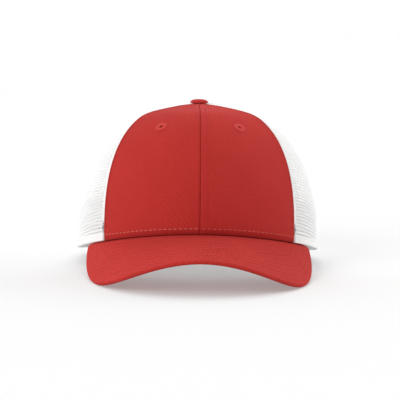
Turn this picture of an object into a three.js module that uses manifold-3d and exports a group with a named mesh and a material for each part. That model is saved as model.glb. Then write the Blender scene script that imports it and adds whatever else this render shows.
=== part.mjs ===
// A trucker hat: two stiff cotton front panels, four mesh panels, a curved visor, a covered
// button, sewn vent eyelets, a hem, a sweatband and a snap strap across the opening at the back.
// Millimetres, +Z up, the front of the hat faces -Y. Left and right are as seen from the front,
// so the left pieces lie at -X. The hat lies on its visor corners and the back of its rim.

import * as THREE from 'three';
import { mergeVertices } from 'three/addons/utils/BufferGeometryUtils.js';
import Module from 'manifold-3d';

const wasm = await Module();
wasm.setup();

// Head size inside the sweatband, a 58 cm head
const headHalfWidth = 84.3;
const headHalfLength = 100;

// Cloth thicknesses and the small gap that separate pieces keep
const pieceGap = 0.3;
const panelThickness = 2.0;
const meshThickness = 1.2;
const meshSetBack = 0.3;
const hemThickness = 2.2;
const hemHeight = 5.5;
const sweatbandThickness = 2.2;
const sweatbandHeight = 32;

// Crown
const crownHeight = 109.6;
const frontArch = 17;
const frontArchAngle = 114;
const frontPeak = 1.3;
const crownLean = 0.095;
const leanStartRise = 55;
const leanFullRise = 82;
const frontSeamAngle = 49.4;
const backSeamAngle = 114;
const tipRadius = 2.5;

// Opening at the back and its edging
const openingHalfAngle = 30;
const openingHeight = 52;
const bindingWidth = 6;

// Strap across the opening
const strapHeight = 19;
const strapThickness = 1.4;
const strapAboveRim = 3;
const strapTuckAngle = 5;
const strapLapHalfAngle = 15;
const studCount = 5;
const studRadius = 2.4;
const studHeight = 0.9;
const studPitchAngle = 5.6;

// Visor
const visorThickness = 3;
const visorLength = 67;
const visorHalfWidth = 78.6;
const visorRootAngle = 62;
const visorSlopeAngle = 12.7;
const visorBendRadius = 132;
const visorFrontBend = 0.68;
const visorPlanSide = 2.4;
const visorPlanFront = 2.9;

// Button and eyelets
const buttonRadius = 6.7;
const buttonHeight = 2.9;
const eyeletRadius = 4.5;
const eyeletHoleRadius = 1.2;
const eyeletFlange = 0.8;
const eyeletBarrelWall = 0.7;
const eyeletAngle = 24.4;
const eyeletHeightShare = 0.818;

// How far the cloth is pressed flat where the hat rests
const restFlattening = 0.4;

// Fullness of the crown round the hat. outward and upward are the powers of the rounded profile:
// 2 is a plain ellipse, and more is boxier. Azimuth 0 is the front and 180 the back.
const fullness = [
  { azimuth: 0, outward: 2.55, upward: 3.2 },
  { azimuth: frontSeamAngle, outward: 2.65, upward: 2.85 },
  { azimuth: 90, outward: 2.2, upward: 2.4 },
  { azimuth: 135, outward: 2.2, upward: 2.3 },
  { azimuth: 180, outward: 2.15, upward: 2.25 },
];

// Each panel lies flatter (below zero) or fuller (above zero) between its seams, in millimetres.
const panels = [
  { from: 0, to: frontSeamAngle, swell: -2.0 },
  { from: frontSeamAngle, to: backSeamAngle, swell: 0.8 },
  { from: backSeamAngle, to: 180, swell: 0.8 },
];

const crownHalfWidth = headHalfWidth + sweatbandThickness + pieceGap + panelThickness;
const crownHalfLength = headHalfLength + sweatbandThickness + pieceGap + panelThickness;

const colours = {
  twill: 0xb3241f,
  mesh: 0xf2f2f0,
  hem: 0xf5f5f3,
  sweatband: 0xe9e7e2,
  strap: 0xf0f0ee,
  thread: 0xa81d1a,
};

const degrees = THREE.MathUtils.degToRad;

function cloth(colour, roughness) {
  return new THREE.MeshStandardMaterial({ color: colour, roughness: roughness, metalness: 0 });
}

function easedShare(value, from, to) {
  return THREE.MathUtils.smoothstep(value, from, to);
}

// Powers of the profile at an azimuth, blended between the rows of the table
function profilePowers(azimuth) {
  const angle = Math.min(Math.abs(azimuth), 180);
  let upper = fullness.findIndex((row) => row.azimuth >= angle);
  upper = Math.max(upper, 1);
  const before = fullness[upper - 1];
  const after = fullness[upper];
  const share = easedShare(angle, before.azimuth, after.azimuth);
  return {
    outward: THREE.MathUtils.lerp(before.outward, after.outward, share),
    upward: THREE.MathUtils.lerp(before.upward, after.upward, share),
  };
}

// Height of the crown's lower edge, which arches up over the forehead
function rimHeight(azimuth) {
  const share = Math.min(Math.abs(azimuth) / frontArchAngle, 1);
  return frontArch * (1 + Math.cos(Math.PI * share)) / 2;
}

function panelSwell(azimuth, rise) {
  const angle = Math.min(Math.abs(azimuth), 180);
  const panel = panels.find((row) => angle <= row.to);
  const across = (angle - panel.from) / (panel.to - panel.from);
  const upTheWall = 0.3 + 0.7 * easedShare(rise, 0, 30);
  const nearTop = 1 - easedShare(rise, 55, 90);
  return panel.swell * Math.sin(Math.PI * across) * upTheWall * nearTop;
}

// Outer face of the crown. rise runs from 0 at the rim to 90 at the button. The top leans down
// towards the front, so the mesh shows behind it.
function crownSurface(azimuth, rise) {
  const powers = profilePowers(azimuth);
  const around = degrees(azimuth);
  const up = degrees(rise);
  const inward = Math.cos(up) ** (2 / powers.outward);
  const raised = Math.sin(up) ** (2 / powers.upward);
  const low = rimHeight(azimuth);
  const crest = frontPeak * Math.cos(around / 2) ** 6 * Math.sin(2 * up) ** 2 * easedShare(rise, 0, 45);
  const swell = panelSwell(azimuth, rise);
  const y = -(crownHalfLength * inward + swell) * Math.cos(around);
  const lean = crownLean * y * easedShare(rise, leanStartRise, leanFullRise);
  return new THREE.Vector3(
    (crownHalfWidth * inward + swell) * Math.sin(around),
    y,
    low + (crownHeight - low) * raised + crest + lean,
  );
}

function crownNormal(azimuth, rise) {
  const step = 0.5;
  const lower = Math.max(rise - step, 0.02);
  const upper = Math.min(rise + step, 89.5);
  const along = crownSurface(azimuth + step, rise).sub(crownSurface(azimuth - step, rise));
  const up = crownSurface(azimuth, upper).sub(crownSurface(azimuth, lower));
  return along.cross(up).normalize();
}

// A point the given depth inside the outer face
function crownPoint(azimuth, rise, depth) {
  return crownSurface(azimuth, rise).addScaledVector(crownNormal(azimuth, rise), -depth);
}

// The rise at which the crown reaches a height above the rim plane
function riseAtHeight(azimuth, height) {
  const low = rimHeight(azimuth);
  const share = THREE.MathUtils.clamp((height - low) / (crownHeight - low), 0, 1);
  return THREE.MathUtils.radToDeg(Math.asin(share ** (profilePowers(azimuth).upward / 2)));
}

// The rise at which the crown has closed in to a small radius round the button
function riseAtRadius(azimuth, radius) {
  const power = profilePowers(azimuth).outward;
  return THREE.MathUtils.radToDeg(Math.acos((radius / crownHalfWidth) ** (power / 2)));
}

// An azimuth moved along the wall by a distance in millimetres
function shiftedAzimuth(azimuth, rise, distance) {
  const step = 0.5;
  const span = crownSurface(azimuth + step, rise).distanceTo(crownSurface(azimuth - step, rise));
  return azimuth + distance * 2 * step / span;
}

// A closed body from vertices and triangles, with its faces turned outward
function closedGeometry(points, triangles) {
  let volume = 0;
  for (const [a, b, c] of triangles) {
    volume += points[a].dot(points[b].clone().cross(points[c]));
  }
  const index = triangles.flatMap(([a, b, c]) => (volume < 0 ? [a, c, b] : [a, b, c]));
  const geometry = new THREE.BufferGeometry().setFromPoints(points);
  geometry.setIndex(index);
  geometry.computeVertexNormals();
  return geometry;
}

// A wall between an outer and an inner face, each a grid of columns and rows
function wallGeometry(columns, rows, pointAt) {
  const points = [];
  const triangles = [];
  const at = (side, i, j) => (side * (columns + 1) + i) * (rows + 1) + j;
  const quad = (a, b, c, d) => triangles.push([a, b, c], [a, c, d]);
  for (const side of [0, 1]) {
    for (let i = 0; i <= columns; i++) {
      for (let j = 0; j <= rows; j++) {
        points.push(pointAt(i, j, side));
      }
    }
  }
  for (let i = 0; i < columns; i++) {
    for (let j = 0; j < rows; j++) {
      quad(at(0, i, j), at(0, i + 1, j), at(0, i + 1, j + 1), at(0, i, j + 1));
      quad(at(1, i, j), at(1, i, j + 1), at(1, i + 1, j + 1), at(1, i + 1, j));
    }
    quad(at(0, i, 0), at(1, i, 0), at(1, i + 1, 0), at(0, i + 1, 0));
    quad(at(0, i, rows), at(0, i + 1, rows), at(1, i + 1, rows), at(1, i, rows));
  }
  for (let j = 0; j < rows; j++) {
    quad(at(0, 0, j), at(0, 0, j + 1), at(1, 0, j + 1), at(1, 0, j));
    quad(at(0, columns, j), at(1, columns, j), at(1, columns, j + 1), at(0, columns, j + 1));
  }
  return closedGeometry(points, triangles);
}

// A body swept through closed sections that all have the same number of points
function sectionGeometry(sections) {
  const count = sections[0].length;
  const points = sections.flat();
  const triangles = [];
  for (let i = 0; i < sections.length - 1; i++) {
    for (let k = 0; k < count; k++) {
      const next = (k + 1) % count;
      const a = i * count + k;
      const b = i * count + next;
      triangles.push([a, b, b + count], [a, b + count, a + count]);
    }
  }
  const last = (sections.length - 1) * count;
  for (let k = 1; k < count / 2; k++) {
    const near = k;
    const nearNext = k + 1;
    const far = count - k;
    const farNext = (count - k + 1) % count;
    for (const [base, flip] of [[0, false], [last, true]]) {
      const first = [base + near, base + farNext, base + far];
      const second = [base + near, base + far, base + nearNext];
      for (const triangle of nearNext === far ? [first] : [first, second]) {
        triangles.push(flip ? triangle.slice().reverse() : triangle);
      }
    }
  }
  return closedGeometry(points, triangles);
}

function solidOf(geometry) {
  const bare = geometry.clone();
  bare.deleteAttribute('normal');
  bare.deleteAttribute('uv');
  const merged = mergeVertices(bare, 1e-4);
  return new wasm.Manifold(new wasm.Mesh({
    numProp: 3,
    vertProperties: new Float32Array(merged.attributes.position.array),
    triVerts: new Uint32Array(merged.index.array),
  }));
}

function geometryOf(solid) {
  const mesh = solid.getMesh();
  const geometry = new THREE.BufferGeometry();
  geometry.setAttribute('position', new THREE.BufferAttribute(mesh.vertProperties, 3));
  geometry.setIndex(new THREE.BufferAttribute(mesh.triVerts, 1));
  geometry.computeVertexNormals();
  return geometry;
}

function namedMesh(name, geometry, material) {
  const mesh = new THREE.Mesh(geometry, material);
  mesh.name = name;
  return mesh;
}

const sides = [{ name: 'left', sign: -1 }, { name: 'right', sign: 1 }];

// Visor

// Plan of the visor's outer edge. around runs from -90 at the left corner to 90 at the right.
function visorPlan(around) {
  const angle = degrees(around);
  const rear = crownPoint(visorRootAngle, 0, panelThickness);
  const front = crownHalfLength + visorLength;
  const rearY = rear.y - visorThickness;
  const across = Math.abs(Math.sin(angle)) ** (2 / visorPlanSide);
  const forward = Math.abs(Math.cos(angle)) ** (2 / visorPlanFront);
  return new THREE.Vector2(
    Math.sign(around) * visorHalfWidth * across,
    rearY - (front + rearY) * forward,
  );
}

// Height of the bent sheet that the visor's middle layer follows
function bentSheetHeight(x, y) {
  const forward = -y - crownHalfLength;
  const sag = visorBendRadius - Math.sqrt(visorBendRadius ** 2 - x ** 2);
  const rearRun = crownHalfLength * (1 - Math.cos(degrees(visorRootAngle)));
  const towardsFront = THREE.MathUtils.clamp((forward + rearRun) / (visorLength + rearRun), 0, 1);
  const tightening = 1 + visorFrontBend * towardsFront;
  return frontArch - forward * Math.tan(degrees(visorSlopeAngle)) - sag * tightening;
}

// Middle layer of the visor. across is -1 to 1 from corner to corner, out is 0 at the crown to 1.
function visorMiddle(across, out) {
  const azimuth = visorRootAngle * across;
  const root = crownPoint(azimuth, 0, panelThickness);
  root.z = rimHeight(azimuth) - pieceGap - visorThickness / 2;
  const edge = visorPlan(90 * across);
  const x = THREE.MathUtils.lerp(root.x, edge.x, out);
  const y = THREE.MathUtils.lerp(root.y, edge.y, out);
  const mend = root.z - bentSheetHeight(root.x, root.y);
  const hold = (1 - out) ** 2;
  const share = hold + (1 - hold) * Math.abs(across) ** 6;
  return new THREE.Vector3(x, y, bentSheetHeight(x, y) + mend * share);
}

function visorNormal(across, out) {
  const step = 0.01;
  const near = Math.max(out - step, 0);
  const far = Math.min(out + step, 1);
  const left = Math.max(across - step, -1);
  const right = Math.min(across + step, 1);
  const outward = visorMiddle(across, far).sub(visorMiddle(across, near));
  const sideways = visorMiddle(right, out).sub(visorMiddle(left, out));
  return outward.cross(sideways).normalize();
}

// Where the faces of a visor section have points, as shares of the way from the crown to the edge
const visorShares = [0, 0.07, 0.25, 0.5, 0.75, 0.93];
const visorEdgeAngles = [60, 20, -20, -60];

// One closed section of the visor, from the root along the top, round the edge and back below
function visorSection(across) {
  const half = visorThickness / 2;
  const edge = visorMiddle(across, 1);
  const inner = visorMiddle(across, 0.97);
  const outward = edge.clone().sub(inner).normalize();
  const upward = visorNormal(across, 1);
  const centre = edge.clone().addScaledVector(outward, -half);
  const face = (share, side) => {
    const direction = share === 0 ? new THREE.Vector3(0, 0, 1) : visorNormal(across, share);
    return visorMiddle(across, share).addScaledVector(direction, side * half);
  };
  const top = visorShares.map((share) => face(share, 1));
  const below = visorShares.map((share) => face(share, -1)).reverse();
  const rounded = visorEdgeAngles.map((angle) => centre.clone()
    .addScaledVector(outward, half * Math.cos(degrees(angle)))
    .addScaledVector(upward, half * Math.sin(degrees(angle))));
  return [...top, ...rounded, ...below];
}

const visorColumns = 40;
const visorSections = Array.from({ length: visorColumns + 1 }, (unused, i) => (
  visorSection(-1 + 2 * i / visorColumns)
));

// How the hat lies: tilted back until the visor's low corners and the rim's back corners touch

const rimCorner = crownPoint(180 - openingHalfAngle, 0, 0);

function restingTilt() {
  const slopes = visorSections.flat().map((point) => (
    Math.atan2(rimCorner.z - point.z, rimCorner.y - point.y)
  ));
  return Math.max(...slopes);
}

const restTilt = restingTilt();
const restLift = rimCorner.y * Math.sin(restTilt) - restFlattening;

// The surface below the hat, as a block in the hat's own frame
function surfaceBlock() {
  const size = 6 * headHalfLength;
  const depth = headHalfLength;
  const block = new THREE.BoxGeometry(size, size, depth);
  block.translate(0, 0, -depth / 2 - restLift);
  block.rotateX(restTilt);
  return solidOf(block);
}

function flattened(geometry) {
  return geometryOf(solidOf(geometry).subtract(surfaceBlock()));
}

// Front panels

function panelTopRise(azimuth) {
  return riseAtRadius(azimuth, tipRadius);
}

// A point of a panel between two azimuths, kept half a gap off the seams at both ends
function panelPoint(from, to, share, rise, depth) {
  const start = shiftedAzimuth(from, rise, pieceGap / 2);
  const end = shiftedAzimuth(to, rise, -pieceGap / 2);
  return crownPoint(THREE.MathUtils.lerp(start, end, share), rise, depth);
}

function mirrored(point, sign) {
  return new THREE.Vector3(sign * point.x, point.y, point.z);
}

function eyeletPlace(sign) {
  const rise = riseAtHeight(eyeletAngle, crownHeight * eyeletHeightShare);
  return {
    position: mirrored(crownSurface(eyeletAngle, rise), sign),
    direction: mirrored(crownNormal(eyeletAngle, rise), sign),
  };
}

// Turns a shape made along +Z to stand on the crown at an eyelet
function placedAtEyelet(geometry, sign) {
  const place = eyeletPlace(sign);
  const turn = new THREE.Quaternion().setFromUnitVectors(new THREE.Vector3(0, 0, 1), place.direction);
  geometry.applyQuaternion(turn);
  return geometry.translate(place.position.x, place.position.y, place.position.z);
}

function frontPanelGeometry(sign) {
  const columns = 12;
  const rows = 20;
  const wall = wallGeometry(columns, rows, (i, j, side) => {
    const share = i / columns;
    const top = panelTopRise(share * frontSeamAngle);
    const rise = top * (j / rows);
    return mirrored(panelPoint(0, frontSeamAngle, share, rise, side * panelThickness), sign);
  });
  const holeRadius = eyeletHoleRadius + eyeletBarrelWall + pieceGap;
  const hole = new THREE.CylinderGeometry(holeRadius, holeRadius, 6 * panelThickness, 14);
  hole.rotateX(Math.PI / 2);
  return geometryOf(solidOf(wall).subtract(solidOf(placedAtEyelet(hole, sign))));
}

// Eyelets: a raised ring of thread with a short barrel through the panel

function eyeletGeometry(sign) {
  const inner = eyeletHoleRadius;
  const barrel = eyeletHoleRadius + eyeletBarrelWall;
  const seat = pieceGap;
  const top = seat + eyeletFlange;
  const profile = [
    new THREE.Vector2(inner, -panelThickness),
    new THREE.Vector2(barrel, -panelThickness),
    new THREE.Vector2(barrel, seat),
    new THREE.Vector2(eyeletRadius, seat),
    new THREE.Vector2(eyeletRadius, seat + eyeletFlange * 0.5),
    new THREE.Vector2((eyeletRadius + barrel) / 2 + 0.3, top),
    new THREE.Vector2(barrel, top),
    new THREE.Vector2(inner, seat + eyeletFlange * 0.5),
    new THREE.Vector2(inner, -panelThickness),
  ];
  const ring = new THREE.LatheGeometry(profile, 18);
  ring.rotateX(Math.PI / 2);
  return geometryOf(solidOf(placedAtEyelet(ring, sign)));
}

// Mesh panels

const hemTop = hemHeight + pieceGap;

// Upper outline of the opening at the back, widened by a margin. bow runs from 0 at the side
// of the opening to 90 at its middle.
function openingOutline(bow, margin) {
  const wide = openingHalfAngle * (1 + margin / (crownHalfWidth * Math.sin(degrees(openingHalfAngle))));
  return {
    azimuth: 180 - wide * Math.cos(degrees(bow)),
    height: (openingHeight + margin) * Math.sin(degrees(bow)),
  };
}

function bowAtHeight(height, margin) {
  return THREE.MathUtils.radToDeg(Math.asin(height / (openingHeight + margin)));
}

// A mesh wall whose columns start at given heights above the rim
function meshWall(columns, rows, sign, columnAt) {
  const outer = meshSetBack;
  return wallGeometry(columns, rows, (i, j, side) => {
    const column = columnAt(i);
    const low = riseAtHeight(column.azimuth, rimHeight(column.azimuth) + column.height);
    const rise = THREE.MathUtils.lerp(low, panelTopRise(column.azimuth), j / rows);
    const azimuth = shiftedAzimuth(column.azimuth, rise, column.shift);
    return mirrored(crownPoint(azimuth, rise, outer + side * meshThickness), sign);
  });
}

function meshSideGeometry(sign) {
  const columns = 12;
  return meshWall(columns, 16, sign, (i) => {
    const share = i / columns;
    return {
      azimuth: THREE.MathUtils.lerp(frontSeamAngle, backSeamAngle, share),
      height: hemTop,
      shift: pieceGap * (0.5 - share),
    };
  });
}

function meshBackGeometry(sign) {
  const plain = 5;
  const bowed = 9;
  const columns = plain + bowed;
  const margin = bindingWidth + pieceGap;
  const firstBow = bowAtHeight(hemTop, margin);
  const firstAzimuth = openingOutline(firstBow, margin).azimuth;
  return meshWall(columns, 14, sign, (i) => {
    const shift = pieceGap * (0.5 - i / columns);
    if (i <= plain) {
      const azimuth = THREE.MathUtils.lerp(backSeamAngle, firstAzimuth, i / plain);
      return { azimuth: azimuth, height: hemTop, shift: shift };
    }
    const bow = THREE.MathUtils.lerp(firstBow, 90, (i - plain) / bowed);
    return { ...openingOutline(bow, margin), shift: shift };
  });
}

// Hem along the bottom of the mesh, from the front panel to the opening

function hemGeometry(sign) {
  const columns = 34;
  const proud = (hemThickness - meshThickness) / 2 - meshSetBack;
  const wall = wallGeometry(columns, 2, (i, j, side) => {
    const share = i / columns;
    const azimuth = THREE.MathUtils.lerp(frontSeamAngle, 180 - openingHalfAngle, share);
    const height = rimHeight(azimuth) + hemHeight * j / 2;
    const rise = Math.max(riseAtHeight(azimuth, height), 0);
    const bulge = j === 1 ? 0 : 0.2;
    const depth = side === 0 ? bulge - proud : hemThickness - proud - bulge;
    return mirrored(crownPoint(shiftedAzimuth(azimuth, rise, pieceGap * (1 - share) / 2), rise, depth), sign);
  });
  return flattened(wall);
}

// Edging round the opening: a strip between two outlines, standing on the hems

function bindingGeometry() {
  const columns = 36;
  const proud = (hemThickness - meshThickness) / 2 - meshSetBack;
  return wallGeometry(columns, 1, (i, j, side) => {
    const margin = j * bindingWidth;
    const firstBow = bowAtHeight(hemTop, margin);
    const share = 2 * i / columns - 1;
    const bow = THREE.MathUtils.lerp(90, firstBow, Math.abs(share));
    const place = openingOutline(bow, margin);
    const rise = riseAtHeight(place.azimuth, place.height);
    const point = crownPoint(place.azimuth, rise, side * hemThickness - proud);
    return mirrored(point, share < 0 ? -1 : 1);
  });
}

// Sweatband inside the rim, open at the back where the strap starts

const sweatbandDepth = panelThickness + pieceGap;
const strapStartAngle = 180 - openingHalfAngle - strapTuckAngle;

function sweatbandGeometry() {
  const columns = 64;
  const endAngle = shiftedAzimuth(strapStartAngle, 0, -pieceGap);
  return wallGeometry(columns, 3, (i, j, side) => {
    const azimuth = THREE.MathUtils.lerp(-endAngle, endAngle, i / columns);
    const overVisor = 1 - easedShare(Math.abs(azimuth), visorRootAngle - 8, visorRootAngle);
    const low = rimHeight(azimuth) + (1 - overVisor) * restFlattening * 2;
    const rise = riseAtHeight(azimuth, low + sweatbandHeight * j / 3);
    const point = crownPoint(azimuth, rise, sweatbandDepth + side * sweatbandThickness);
    if (j === 0) {
      point.z -= overVisor * visorThickness;
    }
    return point;
  });
}

// Strap: one closed band with a thicker lap and a row of studs at the back

function strapGeometry() {
  const columns = 36;
  const depth = sweatbandDepth;
  const wall = wallGeometry(columns, 2, (i, j, side) => {
    const azimuth = THREE.MathUtils.lerp(strapStartAngle, 360 - strapStartAngle, i / columns);
    const behind = Math.abs(azimuth - 180);
    const lap = 1 - easedShare(behind, strapLapHalfAngle, strapLapHalfAngle + 1.5);
    const rise = riseAtHeight(180, strapAboveRim + strapHeight * j / 2);
    const inside = depth + strapThickness * (1 + lap);
    return crownPoint(azimuth > 180 ? azimuth - 360 : azimuth, rise, side === 0 ? depth : inside);
  });
  let strap = solidOf(wall);
  const rise = riseAtHeight(180, strapAboveRim + strapHeight / 2);
  for (let k = 0; k < studCount; k++) {
    const azimuth = 180 + (k - (studCount - 1) / 2) * studPitchAngle;
    const wrapped = azimuth > 180 ? azimuth - 360 : azimuth;
    const stud = new THREE.CylinderGeometry(studRadius * 0.8, studRadius, studHeight + strapThickness, 12);
    stud.translate(0, (studHeight - strapThickness) / 2, 0);
    const turn = new THREE.Quaternion().setFromUnitVectors(
      new THREE.Vector3(0, 1, 0),
      crownNormal(wrapped, rise),
    );
    stud.applyQuaternion(turn);
    const place = crownPoint(wrapped, rise, depth);
    stud.translate(place.x, place.y, place.z);
    strap = strap.add(solidOf(stud));
  }
  return geometryOf(strap);
}

// Button: a low dome with a rolled edge, standing on the crown's tip

function buttonGeometry() {
  const profile = [
    new THREE.Vector2(0, 0),
    new THREE.Vector2(buttonRadius * 0.88, 0),
    new THREE.Vector2(buttonRadius, buttonHeight * 0.16),
    new THREE.Vector2(buttonRadius * 0.97, buttonHeight * 0.4),
  ];
  for (const angle of [35, 55, 75]) {
    profile.push(new THREE.Vector2(
      buttonRadius * Math.cos(degrees(angle)) ** 0.9,
      buttonHeight * (0.16 + 0.84 * Math.sin(degrees(angle)) ** 1.1),
    ));
  }
  profile.push(new THREE.Vector2(0, buttonHeight));
  const dome = new THREE.LatheGeometry(profile, 24);
  dome.rotateX(Math.PI / 2);
  return geometryOf(solidOf(dome));
}

// The whole hat

const twill = cloth(colours.twill, 0.85);
const net = cloth(colours.mesh, 0.6);
const hat = new THREE.Group();

for (const side of sides) {
  hat.add(namedMesh(`front_panel_${side.name}`, frontPanelGeometry(side.sign), twill.clone()));
  hat.add(namedMesh(`eyelet_${side.name}`, eyeletGeometry(side.sign), cloth(colours.thread, 0.6)));
  hat.add(namedMesh(`mesh_side_${side.name}`, meshSideGeometry(side.sign), net.clone()));
  hat.add(namedMesh(`mesh_back_${side.name}`, meshBackGeometry(side.sign), net.clone()));
  hat.add(namedMesh(`hem_${side.name}`, hemGeometry(side.sign), cloth(colours.hem, 0.8)));
}
hat.add(namedMesh('visor', flattened(sectionGeometry(visorSections)), twill.clone()));
hat.add(namedMesh('opening_binding', bindingGeometry(), cloth(colours.hem, 0.8)));
hat.add(namedMesh('sweatband', sweatbandGeometry(), cloth(colours.sweatband, 0.9)));
hat.add(namedMesh('back_strap', strapGeometry(), cloth(colours.strap, 0.35)));

const button = namedMesh('button', buttonGeometry(), twill.clone());
button.position.z = crownHeight + pieceGap;
button.rotation.x = Math.atan(crownLean);
hat.add(button);

hat.rotation.x = -restTilt;
hat.position.z = restLift;

// The origin is the middle of the hat's outline, on the surface that it lies on
const group = new THREE.Group();
group.add(hat);
group.updateMatrixWorld(true);
const outline = new THREE.Box3().setFromObject(group, true);
hat.position.y -= (outline.min.y + outline.max.y) / 2;
group.updateMatrixWorld(true);

export default group;
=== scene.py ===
import math

import bmesh
import bpy
import numpy as np
from mathutils import Matrix, Vector


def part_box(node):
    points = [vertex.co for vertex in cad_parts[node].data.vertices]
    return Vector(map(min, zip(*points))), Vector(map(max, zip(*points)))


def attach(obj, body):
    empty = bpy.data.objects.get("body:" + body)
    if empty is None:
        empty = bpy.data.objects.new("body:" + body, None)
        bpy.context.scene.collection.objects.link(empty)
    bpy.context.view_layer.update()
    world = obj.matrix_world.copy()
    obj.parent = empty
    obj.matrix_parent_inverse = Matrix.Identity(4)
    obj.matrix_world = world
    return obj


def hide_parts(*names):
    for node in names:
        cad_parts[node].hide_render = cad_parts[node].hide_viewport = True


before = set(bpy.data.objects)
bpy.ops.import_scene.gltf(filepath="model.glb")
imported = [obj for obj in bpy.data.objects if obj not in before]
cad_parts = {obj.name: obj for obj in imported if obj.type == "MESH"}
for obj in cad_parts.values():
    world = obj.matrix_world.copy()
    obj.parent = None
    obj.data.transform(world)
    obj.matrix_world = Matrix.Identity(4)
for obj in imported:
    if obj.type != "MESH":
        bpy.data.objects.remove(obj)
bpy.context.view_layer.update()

# Lengths below are in millimetres in the hat's own frame, as in the part's source: the crown's
# axis is Z, the rim lies near Z = 0 and the front faces -Y. to_world() tilts the hat as it lies.
MM = 0.001

# Sizes repeated from the part's source
HEAD_HALF_WIDTH = 84.3
HEAD_HALF_LENGTH = 100
PIECE_GAP = 0.3
PANEL_THICKNESS = 2.0
MESH_THICKNESS = 1.2
MESH_SET_BACK = 0.3
HEM_THICKNESS = 2.2
HEM_HEIGHT = 5.5
BAND_THICKNESS = 2.2
BAND_HEIGHT = 32
CROWN_HEIGHT = 109.6
FRONT_ARCH = 17
FRONT_ARCH_ANGLE = 114
FRONT_PEAK = 1.3
CROWN_LEAN = 0.095
LEAN_START = 55
LEAN_FULL = 82
FRONT_SEAM = 49.4
BACK_SEAM = 114
TIP_RADIUS = 2.5
OPENING_HALF_ANGLE = 30
OPENING_HEIGHT = 52
BINDING_WIDTH = 6
STRAP_HEIGHT = 19
STRAP_THICKNESS = 1.4
STRAP_ABOVE_RIM = 3
STRAP_TUCK = 5
STRAP_LAP_HALF_ANGLE = 15
STUD_COUNT = 5
STUD_RADIUS = 2.4
STUD_HEIGHT = 0.9
STUD_PITCH_ANGLE = 5.6
VISOR_THICKNESS = 3
VISOR_LENGTH = 67
VISOR_HALF_WIDTH = 78.6
VISOR_ROOT_ANGLE = 62
VISOR_SLOPE = 12.7
VISOR_BEND_RADIUS = 132
VISOR_FRONT_BEND = 0.68
VISOR_PLAN_SIDE = 2.4
VISOR_PLAN_FRONT = 2.9
BUTTON_RADIUS = 6.7
BUTTON_HEIGHT = 2.9
EYELET_HOLE_RADIUS = 1.2
EYELET_ANGLE = 24.4
EYELET_HEIGHT_SHARE = 0.818
REST_FLATTENING = 0.4

CROWN_HALF_WIDTH = HEAD_HALF_WIDTH + BAND_THICKNESS + PIECE_GAP + PANEL_THICKNESS
CROWN_HALF_LENGTH = HEAD_HALF_LENGTH + BAND_THICKNESS + PIECE_GAP + PANEL_THICKNESS

# The curve of the crown's wall: azimuth, then its power outward and upward
FULLNESS = (
    (0, 2.55, 3.2),
    (FRONT_SEAM, 2.65, 2.85),
    (90, 2.2, 2.4),
    (135, 2.2, 2.3),
    (180, 2.15, 2.25),
)

# Panels: first and last azimuth, and how far the middle swells
PANELS = (
    (0, FRONT_SEAM, -2.0),
    (FRONT_SEAM, BACK_SEAM, 0.8),
    (BACK_SEAM, 180, 0.8),
)

# The swell grows from a share of itself at the rim, and fades towards the top
SWELL_AT_RIM = 0.3
SWELL_FULL_RISE = 30
SWELL_FADE_START = 55
SWELL_FADE_END = 90
CREST_FULL_RISE = 45

SIDES = (("left", -1), ("right", 1))

# Steps for slopes, in degrees on the crown and in shares of the visor
CROWN_STEP = 0.5
LOWEST_RISE = 0.02
HIGHEST_RISE = 89.5
VISOR_STEP = 0.01
NEAR_VISOR_EDGE = 0.97


# The crown's form, as in the part's source, for whole arrays at once

def smooth_share(value, low, high):
    share = np.clip((np.asarray(value, float) - low) / (high - low), 0, 1)
    return share * share * (3 - 2 * share)


def bell(value, width):
    return np.exp(-(np.asarray(value, float) / width) ** 2)


def profile_powers(azimuth):
    angle = np.minimum(np.abs(azimuth), 180)
    outward = np.full(np.shape(angle), float(FULLNESS[0][1]))
    upward = np.full(np.shape(angle), float(FULLNESS[0][2]))
    for before, after in zip(FULLNESS, FULLNESS[1:]):
        share = smooth_share(angle, before[0], after[0])
        outward = outward + (after[1] - before[1]) * share
        upward = upward + (after[2] - before[2]) * share
    return outward, upward


def rim_height(azimuth):
    share = np.minimum(np.abs(azimuth) / FRONT_ARCH_ANGLE, 1)
    return FRONT_ARCH * (1 + np.cos(np.pi * share)) / 2


def panel_swell(azimuth, rise):
    angle = np.minimum(np.abs(azimuth), 180)
    grown = SWELL_AT_RIM + (1 - SWELL_AT_RIM) * smooth_share(rise, 0, SWELL_FULL_RISE)
    faded = 1 - smooth_share(rise, SWELL_FADE_START, SWELL_FADE_END)
    swell = np.zeros(np.broadcast(angle, rise).shape)
    for start, end, height in PANELS:
        across = (angle - start) / (end - start)
        inside = (across >= 0) & (across < 1)
        swell = swell + np.where(inside, height * np.sin(np.pi * np.clip(across, 0, 1)), 0)
    return swell * grown * faded


def crown_surface(azimuth, rise):
    azimuth, rise = np.broadcast_arrays(np.asarray(azimuth, float), np.asarray(rise, float))
    outward, upward = profile_powers(azimuth)
    around = np.radians(azimuth)
    up = np.radians(rise)
    inward = np.cos(up) ** (2 / outward)
    raised = np.clip(np.sin(up), 0, 1) ** (2 / upward)
    low = rim_height(azimuth)
    crest = FRONT_PEAK * np.cos(around / 2) ** 6 * np.sin(2 * up) ** 2
    crest = crest * smooth_share(rise, 0, CREST_FULL_RISE)
    swell = panel_swell(azimuth, rise)
    x = (CROWN_HALF_WIDTH * inward + swell) * np.sin(around)
    y = -(CROWN_HALF_LENGTH * inward + swell) * np.cos(around)
    lean = CROWN_LEAN * y * smooth_share(rise, LEAN_START, LEAN_FULL)
    z = low + (CROWN_HEIGHT - low) * raised + crest + lean
    return np.stack([x, y, z], axis=-1)


def unit(vectors):
    return vectors / np.maximum(np.linalg.norm(vectors, axis=-1, keepdims=True), 1e-9)


def step_along(azimuth, rise):
    return crown_surface(azimuth + CROWN_STEP, rise) - crown_surface(azimuth - CROWN_STEP, rise)


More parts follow.
